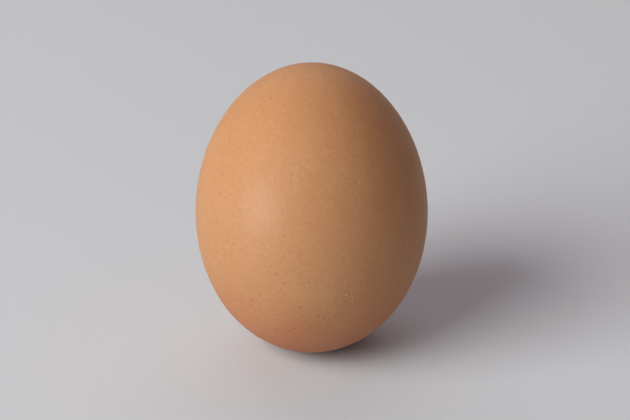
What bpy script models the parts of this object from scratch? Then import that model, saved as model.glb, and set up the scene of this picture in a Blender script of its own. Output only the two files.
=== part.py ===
"""A whole brown hen's egg in its shell, standing on its blunt end.

The egg is one closed solid of revolution about +Z. Its outline is the Huegelschaeffer egg curve,
set by the egg's length, its breadth and how far its widest section lies from mid-length.
A small flat spot under the blunt end lets it stand, and the origin is the centre of that spot.
Metres, +Z up.
"""

import math

import bpy

LENGTH = 0.0575  # end to end, before the flat spot is cut
BREADTH = 0.0444  # across the widest section
BLUNTNESS = 0.00094  # from mid-length down to the widest section
FLAT_RADIUS = 0.0040  # of the flat spot that it stands on

RINGS = 50  # levels of the outline, from the pointed end to the flat spot
SEGMENTS = 72  # sides of each ring
WELD = 0.00001  # the Screw modifier joins its seam and poles within this distance

SHELL_COLOUR = (0.59, 0.29, 0.12, 1.0)
SHELL_ROUGHNESS = 0.6


def shell_radius(along):
    """The egg's radius at a distance along its axis, from mid-length towards the pointed end."""
    round_part = LENGTH**2 - 4 * along**2
    taper = LENGTH**2 + 8 * BLUNTNESS * along + 4 * BLUNTNESS**2
    return BREADTH / 2 * math.sqrt(max(round_part, 0.0) / taper)


def flat_spot_place():
    """Where along the axis the blunt end narrows to FLAT_RADIUS, found by halving."""
    outer, inner = -LENGTH / 2, 0.0
    for _ in range(50):
        middle = (outer + inner) / 2
        if shell_radius(middle) < FLAT_RADIUS:
            outer = middle
        else:
            inner = middle
    return inner


def outline():
    """(radius, height) of each level, from the pointed end down to the middle of the flat spot.

    The levels are evenly spaced in the angle of the circle round the egg's length, so that they
    lie closer together where the ends curve more.
    """
    floor = flat_spot_place()
    last_angle = math.acos(2 * floor / LENGTH)
    levels = []
    for ring in range(RINGS):
        along = LENGTH / 2 * math.cos(last_angle * ring / (RINGS - 1))
        levels.append((shell_radius(along), along - floor))
    levels.append((0.0, 0.0))
    return levels


def shell_material():
    material = bpy.data.materials.new("eggshell")
    material.use_nodes = True
    shader = material.node_tree.nodes["Principled BSDF"]
    shader.inputs["Base Color"].default_value = SHELL_COLOUR
    shader.inputs["Roughness"].default_value = SHELL_ROUGHNESS
    shader.inputs["Metallic"].default_value = 0.0
    return material


def make_egg():
    """Turns the outline about +Z with a Screw modifier."""
    points = [(radius, 0.0, height) for radius, height in outline()]
    edges = [(i, i + 1) for i in range(len(points) - 1)]
    mesh = bpy.data.meshes.new("egg")
    mesh.from_pydata(points, edges, [])
    mesh.materials.append(shell_material())
    egg = bpy.data.objects.new("egg", mesh)
    bpy.context.scene.collection.objects.link(egg)

    turn = egg.modifiers.new("turn", "SCREW")
    turn.axis = "Z"
    turn.steps = SEGMENTS
    turn.render_steps = SEGMENTS
    turn.use_merge_vertices = True
    turn.merge_threshold = WELD
    turn.use_smooth_shade = True
    return egg


def main():
    for found in list(bpy.data.objects):
        bpy.data.objects.remove(found)
    make_egg()


main()
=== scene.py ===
"""The looks of the whole brown egg: its shell in fine mesh, a pale floor, soft light and the camera."""

import math
from collections import namedtuple

import bmesh
import bpy
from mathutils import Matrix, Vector, noise


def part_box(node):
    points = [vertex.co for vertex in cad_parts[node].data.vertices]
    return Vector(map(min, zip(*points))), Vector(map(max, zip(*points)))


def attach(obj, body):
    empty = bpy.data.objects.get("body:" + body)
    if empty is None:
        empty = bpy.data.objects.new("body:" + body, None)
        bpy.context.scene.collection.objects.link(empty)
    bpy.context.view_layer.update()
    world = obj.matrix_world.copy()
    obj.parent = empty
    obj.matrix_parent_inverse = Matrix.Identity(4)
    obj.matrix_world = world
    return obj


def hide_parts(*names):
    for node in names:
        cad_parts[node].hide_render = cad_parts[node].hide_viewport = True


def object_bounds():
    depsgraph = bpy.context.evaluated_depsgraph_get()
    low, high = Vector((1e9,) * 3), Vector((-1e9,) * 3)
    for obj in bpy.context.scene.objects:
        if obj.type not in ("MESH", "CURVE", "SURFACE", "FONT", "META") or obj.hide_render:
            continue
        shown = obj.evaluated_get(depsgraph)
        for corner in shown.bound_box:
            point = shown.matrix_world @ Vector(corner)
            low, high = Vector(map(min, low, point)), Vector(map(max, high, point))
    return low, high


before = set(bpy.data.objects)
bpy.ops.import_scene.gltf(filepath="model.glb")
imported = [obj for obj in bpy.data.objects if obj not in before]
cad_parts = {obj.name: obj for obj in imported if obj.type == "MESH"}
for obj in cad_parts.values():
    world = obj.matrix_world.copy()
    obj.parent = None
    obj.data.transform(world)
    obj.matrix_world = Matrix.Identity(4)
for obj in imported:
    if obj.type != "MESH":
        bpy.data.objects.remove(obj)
cad_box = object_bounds()

# The egg's outline, as the CAD model has it. Metres.
LENGTH = 0.0575  # from the pointed end to where the blunt end would reach without its flat spot
BLUNTNESS = 0.00094  # from mid-length down to the widest section

# The shell's mesh: a cube whose six faces are grids, blown up into the egg.
CELLS = 128  # along each edge of the cube
UV_GAP = 0.02  # share of each side of the cube that is left free round it in the UV map

# The shell's relief: (wavelength, height) of each layer of noise. Metres.
RELIEF = (
    (0.0180, 0.000050),  # the egg isn't quite a turned shape
    (0.0050, 0.000007),  # low ripples
    (0.0011, 0.000005),  # the shell's grain
)

# The camera.
CAMERA_PITCH = math.radians(25)
CAMERA_DISTANCE = 0.40
CAMERA_LENS = 119.5
CAMERA_SHIFT = (0.0053, -0.0037)

# Light. Angles are seen from the middle of the egg.
KEY_TURN = math.radians(-54.5)  # from the camera's side, to its left
KEY_HEIGHT = math.radians(31)
KEY_DISTANCE = 1.2
KEY_SIZE = (0.94, 0.94)
KEY_POWER = 7.95
KEY_SPREAD = math.radians(110)  # a grid narrows its beam, so that the floor close to it isn't too bright
WINDOW_TURN = math.radians(-50)  # a low window, which only shows as the shell's highlight
WINDOW_HEIGHT = math.radians(3)
WINDOW_DISTANCE = 0.6
WINDOW_SIZE = (0.17, 0.07)
WINDOW_POWER = 3.0
FILL_TURN = math.radians(185)  # behind the egg
FILL_HEIGHT = math.radians(43)
FILL_DISTANCE = 1.1
FILL_SIZE = (1.4, 1.0)
FILL_POWER = 3.98
ROOM_COLOUR = (1.0, 0.63, 0.82)  # warms the shaded side
ROOM_LIGHT = 0.174

FLOOR_FLAT = 0.50  # radius of the flat part
FLOOR_BEND = 1.50  # radius of the curve that rises round it
FLOOR_STEPS = 12  # up that curve
FLOOR_SIDES = 96
FLOOR_COLOUR = (0.592, 0.620, 0.622)

# The shell's colours.
TAN = (0.496, 0.239, 0.095)
REDDISH_TAN = (0.459, 0.205, 0.080)
PALE_TAN = (0.542, 0.278, 0.120)
SPECKLE_BROWN = (0.256, 0.099, 0.037)
CHALK = (0.800, 0.620, 0.450)
DARK_TAN = (0.400, 0.173, 0.068)
# the colour towards the blunt end: redder and darker than the tan
BLUNT_END_BROWN = (0.515, 0.108, 0.031)
PORE_DEPTH = 0.000030
ROUGHNESS = (0.82, 0.90)
SPECULAR = 0.39
BLOOM = 0.42  # the thin dried film on the shell, which gives it a faint soft gloss
BLOOM_ROUGHNESS = 0.48

# The shell's pattern. Sizes are in metres. Kept is the share of the spots that show, and strength is
# how far they turn the shell's colour into their own.
Spots = namedtuple("Spots", "spacing radius kept strength")
PORES = Spots(spacing=0.0016, radius=0.00046, kept=0.9, strength=0.50)
FINE_PORES = Spots(spacing=0.0008, radius=0.00024, kept=0.8, strength=0.50)
SPECKLES = Spots(spacing=0.0024, radius=0.00046, kept=0.6, strength=0.60)
FLECKS = Spots(spacing=0.0050, radius=0.00034, kept=0.35, strength=0.40)
GRAIN_SIZE = 0.0007
MOTTLE_SIZE = 0.0032
CLOUD_SIZE = 0.0130
UNEVEN_SIZE = 0.0005  # the spots' outlines wander on this scale
UNEVEN_REACH = 0.00010

# Marks on the shell. A place is (degrees from the camera's side to its right, metres above the floor).
# Each scratch or fleck has its two ends and its half width.
PALE_MARKS = (
    ((19.3, 0.0218), (20.4, 0.0200), 0.00008),  # a thin upright scratch
    ((20.4, 0.0200), (21.5, 0.0181), 0.00012),
    ((16.8, 0.0205), (17.7, 0.0202), 0.00016),  # flecks beside it
    ((17.7, 0.0202), (19.6, 0.0199), 0.00006),
    ((23.6, 0.0212), (23.8, 0.0210), 0.00014),
    ((26.4, 0.0416), (26.6, 0.0414), 0.00015),
    ((65.0, 0.0512), (66.5, 0.0513), 0.00020),
)
PALE_MARK_STRENGTH = 0.27
DARK_MARKS = (
    ((-14.6, 0.0109), (-13.4, 0.0113), 0.00026),  # the largest spot, near the blunt end
    ((-17.6, 0.0101), (-16.8, 0.0103), 0.00020),
    ((-46.8, 0.0160), (-46.4, 0.0159), 0.00018),
    ((6.3, 0.0107), (6.7, 0.0108), 0.00020),
    ((9.0, 0.0122), (9.3, 0.0123), 0.00017),
)
DARK_MARK_STRENGTH = 0.55


def direction(turn, height):
    """Unit vector from the egg towards a place seen at that turn from the camera's side and that height."""
    return Vector((math.sin(turn) * math.cos(height), -math.cos(turn) * math.cos(height), math.sin(height)))


def node(tree, kind, inputs=None, **settings):
    """A new shader node with these settings, and with its inputs set to values or linked to sockets."""
    made = tree.nodes.new("ShaderNode" + kind)
    for name, value in settings.items():
        setattr(made, name, value)
    for name, value in (inputs or {}).items():
        socket = made.inputs[name]
        if isinstance(value, bpy.types.NodeSocket):
            tree.links.new(value, socket)
        else:
            socket.default_value = value
    return made


def new_material(name):
    """A material, its node tree and its Principled shader."""
    material = bpy.data.materials.new(name)
    material.use_nodes = True
    return material, material.node_tree, material.node_tree.nodes["Principled BSDF"]


def cloud(tree, place, wavelength, detail=2.0):
    """Soft noise from about 0.3 to 0.7, with features about as large as the wavelength."""
    return node(
        tree, "TexNoise", {"Vector": place, "Scale": 1 / wavelength, "Detail": detail}
    ).outputs["Fac"]


def ramp(tree, value, low, high, start=0.0, end=1.0, interpolation="SMOOTHSTEP"):
    """The value, mapped from low..high to start..end and held there."""
    return node(
        tree,
        "MapRange",
        {"Value": value, "From Min": low, "From Max": high, "To Min": start, "To Max": end},
        interpolation_type=interpolation,
    ).outputs["Result"]


def arithmetic(tree, operation, first, second):
    return node(tree, "Math", {0: first, 1: second}, operation=operation).outputs[0]


def vector_arithmetic(tree, operation, first, second):
    return node(tree, "VectorMath", {0: first, 1: second}, operation=operation).outputs["Vector"]


def blend(tree, share, first, second, blend_type="MIX"):
    """The first colour with this share of the second one mixed in."""
    mix = node(tree, "Mix", data_type="RGBA", blend_type=blend_type)
    for place, value in ((0, share), (6, first), (7, second)):
        if isinstance(value, bpy.types.NodeSocket):
            tree.links.new(value, mix.inputs[place])
        elif place == 0:
            mix.inputs[place].default_value = value
        else:
            mix.inputs[place].default_value = (*value, 1.0)
    return mix.outputs[2]


def dots(tree, place, spots):
    """Round dots, 1 in their middle and 0 outside. Those that are kept vary in size, up to their radius."""
    cells = node(tree, "TexVoronoi", {"Vector": place, "Scale": 1 / spots.spacing})
    chance = node(tree, "SeparateColor", {"Color": cells.outputs["Color"]}).outputs["Red"]
    largest = spots.radius / spots.spacing
    size = ramp(tree, chance, 1.0 - spots.kept, 1.0, 0.0001, largest, "LINEAR")
    reach = arithmetic(tree, "DIVIDE", cells.outputs["Distance"], size)
    return ramp(tree, reach, 0.3, 1.0, 1.0, 0.0)


def wobble(tree, place, wavelength, distance):
    """The place, moved about at random by up to about this distance, which makes round dots uneven."""
    noise_colour = node(
        tree, "TexNoise", {"Vector": place, "Scale": 1 / wavelength, "Detail": 1.0}
    ).outputs["Color"]
    centred = vector_arithmetic(tree, "SUBTRACT", noise_colour, (0.5, 0.5, 0.5))
    move = node(tree, "VectorMath", {0: centred, "Scale": 4 * distance}, operation="SCALE")
    return vector_arithmetic(tree, "ADD", place, move.outputs["Vector"])


def stroke(tree, place, first, second, half_width):
    """1 along the line between two points, and 0 beyond its half width."""
    along = second - first
    offset = vector_arithmetic(tree, "SUBTRACT", place, first)
    share = node(tree, "VectorMath", {0: offset, 1: along}, operation="DOT_PRODUCT").outputs["Value"]
    held = ramp(tree, share, 0.0, along.length_squared, 0.0, 1.0, "LINEAR")
    nearest = node(tree, "VectorMath", {0: along, "Scale": held}, operation="SCALE").outputs["Vector"]
    apart = vector_arithmetic(tree, "SUBTRACT", offset, nearest)
    distance = node(tree, "VectorMath", {0: apart}, operation="LENGTH").outputs["Value"]
    return ramp(tree, distance, 0.3 * half_width, 1.3 * half_width, 1.0, 0.0)


def strokes(tree, place, marks, shell_point):
    """The mask of a list of marks."""
    masks = []
    for first, second, half_width in marks:
        ends = [shell_point(math.radians(turn), height) for turn, height in (first, second)]
        masks.append(stroke(tree, place, *ends, half_width))
    total = masks[0]
    for mask in masks[1:]:
        total = arithmetic(tree, "MAXIMUM", total, mask)
    return total


def shell_material(bottom, top, breadth):
    """Brown eggshell: pigment in fine layers, pores, speckles, chalk flecks and a few marks."""

    def shell_point(turn, height):
        around = direction(turn, 0.0) * shell_radius(bottom + height - (top - LENGTH / 2), breadth)
        return around + Vector((0, 0, bottom + height))

    material, tree, shader = new_material("brown_shell")
    place = node(tree, "TexCoord").outputs["Object"]
    height = node(tree, "SeparateXYZ", {"Vector": place}).outputs["Z"]
    uneven = wobble(tree, place, UNEVEN_SIZE, UNEVEN_REACH)

    pores = dots(tree, uneven, PORES)
    fine_pores = dots(tree, uneven, FINE_PORES)
    speckles = dots(tree, uneven, SPECKLES)
    flecks = dots(tree, uneven, FLECKS)
    pale_marks = strokes(tree, uneven, PALE_MARKS, shell_point)
    dark_marks = strokes(tree, uneven, DARK_MARKS, shell_point)
    grain = cloud(tree, place, GRAIN_SIZE, 3.0)
    mottle = cloud(tree, place, MOTTLE_SIZE, 3.0)
    clouds = cloud(tree, place, CLOUD_SIZE, 2.0)

    # The colour: redder and darker towards the blunt end, cloudy, and mottled on a finer scale.
    redness = ramp(tree, height, bottom + 0.40 * (top - bottom), bottom)
    colour = blend(tree, redness, TAN, BLUNT_END_BROWN)
    colour = blend(tree, ramp(tree, clouds, 0.35, 0.75, 0.0, 0.45), colour, PALE_TAN)
    colour = blend(tree, ramp(tree, mottle, 0.35, 0.70, 0.0, 0.30), colour, REDDISH_TAN)
    # The grain, the pores and the speckles are all stronger towards the blunt end.
    coarseness = ramp(tree, height, bottom, bottom + 0.45 * (top - bottom), 1.8, 1.0)
    grain_share = arithmetic(tree, "MULTIPLY", ramp(tree, grain, 0.30, 0.70, 0.0, 0.38), coarseness)
    colour = blend(tree, grain_share, colour, DARK_TAN)
    crowding = ramp(tree, height, bottom, bottom + 0.8 * (top - bottom), 1.4, 0.35)
    for mask, spots in ((speckles, SPECKLES), (pores, PORES), (fine_pores, FINE_PORES)):
        share = arithmetic(tree, "MULTIPLY", arithmetic(tree, "MULTIPLY", mask, spots.strength), crowding)
        colour = blend(tree, share, colour, SPECKLE_BROWN)
    for mask, strength, shade in (
        (flecks, FLECKS.strength, CHALK),
        (dark_marks, DARK_MARK_STRENGTH, SPECKLE_BROWN),
        (pale_marks, PALE_MARK_STRENGTH, CHALK),
    ):
        colour = blend(tree, arithmetic(tree, "MULTIPLY", mask, strength), colour, shade)
    tree.links.new(colour, shader.inputs["Base Color"])

    tree.links.new(ramp(tree, mottle, 0.3, 0.7, *ROUGHNESS), shader.inputs["Roughness"])
    shader.inputs["Specular IOR Level"].default_value = SPECULAR
    shader.inputs["Coat Weight"].default_value = BLOOM
    shader.inputs["Coat Roughness"].default_value = BLOOM_ROUGHNESS

    # Pores are pits, and the grain between them is slightly raised.
    pits = arithmetic(tree, "ADD", pores, arithmetic(tree, "MULTIPLY", fine_pores, 0.5))
    surface = arithmetic(tree, "SUBTRACT", arithmetic(tree, "MULTIPLY", grain, 0.6), pits)
    bump = node(tree, "Bump", {"Height": surface, "Distance": PORE_DEPTH, "Strength": 1.0})
    tree.links.new(bump.outputs["Normal"], shader.inputs["Normal"])
    return material


def shell_radius(along, breadth):
    """The egg's radius at a distance along its axis, from mid-length towards the pointed end."""
    round_part = LENGTH**2 - 4 * along**2
    taper = LENGTH**2 + 8 * BLUNTNESS * along + 4 * BLUNTNESS**2
    return breadth / 2 * math.sqrt(max(round_part, 0.0) / taper)


def on_shell(cube_point, bottom, top, breadth):
    """Where a point of the cube from -1 to 1 lies on the egg. The tangents even out the grid's cells."""
    bulged = Vector([math.tan(c * math.pi / 4) for c in cube_point]).normalized()
    along = LENGTH / 2 * bulged.z
    radius = shell_radius(along, breadth)
    across = Vector((bulged.x, bulged.y, 0.0))
    if across.length > 0:
        across.normalize()
    point = across * radius + Vector((0, 0, top - LENGTH / 2 + along))
    point.z = max(point.z, bottom)
    return point


def lay_out(bm):
    """The UV map: the cube's six sides in two rows of three, with a gap round each."""
    layer = bm.loops.layers.uv.new("OFBake")
    for face in bm.faces:
        centre = face.calc_center_median()
        axis = max(range(3), key=lambda i: abs(centre[i]))
        column, row = axis, 1 if centre[axis] > 0 else 0
        mirrored = (centre[axis] < 0) != (axis == 1)
        for loop in face.loops:
            across, up = [loop.vert.co[i] for i in range(3) if i != axis]
            if mirrored:
                across = -across
            u, v = [(1 + (1 - UV_GAP) * c) / 2 for c in (across, up)]
            loop[layer].uv = ((column + u) / 3, (row + v) / 2)


def relief(point):
    """How far the shell stands out at a point of it."""
    return sum(height * noise.noise(point / wavelength) for wavelength, height in RELIEF)


def make_shell():
    low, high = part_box("egg")
    breadth = high.x - low.x
    bm = bmesh.new()
    bmesh.ops.create_cube(bm, size=2)
    bmesh.ops.subdivide_edges(bm, edges=bm.edges, cuts=CELLS - 1, use_grid_fill=True)
    lay_out(bm)
    for vert in bm.verts:
        vert.co = on_shell(vert.co, low.z, high.z, breadth)
    bm.normal_update()
    moves = []
    for vert in bm.verts:
        flat = vert.co.z < low.z + 1e-6
        moves.append(Vector() if flat else vert.normal * relief(vert.co))
    for vert, move in zip(bm.verts, moves):
        vert.co += move
        vert.co.z = max(vert.co.z, low.z)
    mesh = bpy.data.meshes.new("shell")
    bm.to_mesh(mesh)
    bm.free()
    mesh.shade_smooth()
    mesh.materials.append(shell_material(low.z, high.z, breadth))
    shell = bpy.data.objects.new("shell", mesh)
    bpy.context.scene.collection.objects.link(shell)
    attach(shell, "root")
    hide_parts("egg")


def make_floor(level):
    """A round floor that curves up all round, as a studio's sweep does."""
    outline = [(0.0, 0.0), (FLOOR_FLAT, 0.0)]
    for step in range(1, FLOOR_STEPS + 1):
        angle = math.pi / 2 * step / FLOOR_STEPS
        outline.append(
            (FLOOR_FLAT + FLOOR_BEND * math.sin(angle), FLOOR_BEND * (1 - math.cos(angle)))
        )
    bm = bmesh.new()
    verts = [bm.verts.new((radius, 0.0, level + height)) for radius, height in outline]
    edges = [bm.edges.new(pair) for pair in zip(verts, verts[1:])]
    bmesh.ops.spin(
        bm, geom=verts + edges, axis=(0, 0, 1), cent=(0, 0, 0), angle=2 * math.pi, steps=FLOOR_SIDES
    )
    bmesh.ops.remove_doubles(bm, verts=bm.verts, dist=1e-5)
    bmesh.ops.recalc_face_normals(bm, faces=bm.faces)
    mesh = bpy.data.meshes.new("floor")
    bm.to_mesh(mesh)
    bm.free()
    mesh.shade_smooth()
    material, _, shader = new_material("pale_floor")
    shader.inputs["Base Color"].default_value = (*FLOOR_COLOUR, 1.0)
    shader.inputs["Roughness"].default_value = 0.9
    shader.inputs["Specular IOR Level"].default_value = 0.0
    mesh.materials.append(material)
    floor = bpy.data.objects.new("floor", mesh)
    bpy.context.scene.collection.objects.link(floor)


def make_lamp(name, target, turn, height, distance, size, power):
    """A soft white lamp that faces the target. It isn't seen itself."""
    data = bpy.data.lights.new(name, "AREA")
    data.shape = "RECTANGLE"
    data.size, data.size_y = size
    data.energy = power
    lamp = bpy.data.objects.new(name, data)
    outward = direction(turn, height)
    lamp.location = target + outward * distance
    lamp.rotation_euler = outward.to_track_quat("Z", "Y").to_euler()
    lamp.visible_camera = False
    bpy.context.scene.collection.objects.link(lamp)
    return lamp


def make_room_light():
    world = bpy.data.worlds.new("room")
    world.use_nodes = True
    background = world.node_tree.nodes["Background"]
    background.inputs["Color"].default_value = (*ROOM_COLOUR, 1.0)
    background.inputs["Strength"].default_value = ROOM_LIGHT
    bpy.context.scene.world = world


def make_camera(target):
    data = bpy.data.cameras.new("camera")
    data.lens = CAMERA_LENS
    data.sensor_width = 36
    data.shift_x, data.shift_y = CAMERA_SHIFT
    data.clip_start = 0.01
    camera = bpy.data.objects.new("camera", data)
    camera.location = target + direction(0.0, CAMERA_PITCH) * CAMERA_DISTANCE
    camera.rotation_euler = (math.pi / 2 - CAMERA_PITCH, 0.0, 0.0)
    bpy.context.scene.collection.objects.link(camera)
    bpy.context.scene.camera = camera


middle = (cad_box[0] + cad_box[1]) / 2
make_camera(middle)
make_shell()
make_floor(cad_box[0].z)
key = make_lamp("key", middle, KEY_TURN, KEY_HEIGHT, KEY_DISTANCE, KEY_SIZE, KEY_POWER)
key.data.spread = KEY_SPREAD
key.visible_glossy = False  # the shell's soft highlight is the low window's
window = make_lamp(
    "window", middle, WINDOW_TURN, WINDOW_HEIGHT, WINDOW_DISTANCE, WINDOW_SIZE, WINDOW_POWER
)
window.visible_diffuse = False  # it only gives the highlight, and leaves the floor near it plain
make_lamp("fill", middle, FILL_TURN, FILL_HEIGHT, FILL_DISTANCE, FILL_SIZE, FILL_POWER)
make_room_light()
bpy.context.scene.view_settings.view_transform = "Standard"
